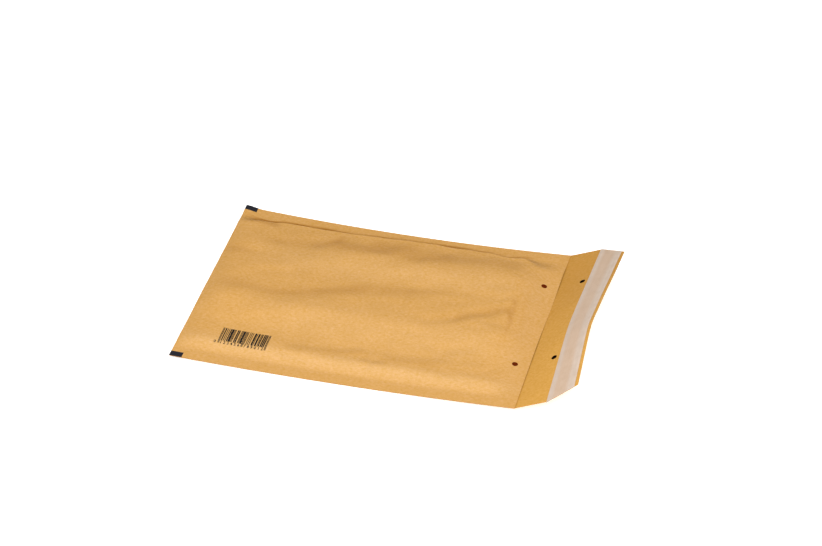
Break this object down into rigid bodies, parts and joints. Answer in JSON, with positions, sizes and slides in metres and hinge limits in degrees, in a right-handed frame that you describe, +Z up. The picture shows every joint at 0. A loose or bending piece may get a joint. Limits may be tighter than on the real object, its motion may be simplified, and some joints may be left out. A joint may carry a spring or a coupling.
{
  "type": "padded envelope",
  "caption": "Kraft paper mailing envelope lined with bubble film, lying flat and empty, its tapered flap raised with the release strip still over the glue.",
  "frame": {"origin": "on the surface that the envelope lies on, under the middle of the pouch", "axes": "+X from the bottom fold to the mouth and flap, +Y across the pouch, +Z up"},
  "size_m": [0.2639, 0.1702, 0.0269],
  "materials": {
    "kraft_paper": "matte machine-finished kraft paper",
    "bubble_film": "clear polyethylene bubble film",
    "seam_glue": "set hot-melt glue",
    "flap_glue": "pressure-sensitive hot-melt glue",
    "release_paper": "translucent siliconised glassine",
    "print_ink": "dark flexographic ink printed on the kraft paper"
  },
  "bodies": {
    "root": {"kraft_envelope": "kraft_paper", "bubble_liner": "bubble_film", "seam_glue_near": "seam_glue", "seam_glue_far": "seam_glue", "flap_adhesive": "flap_glue", "release_strip": "release_paper"}
  },
  "joints": []
}
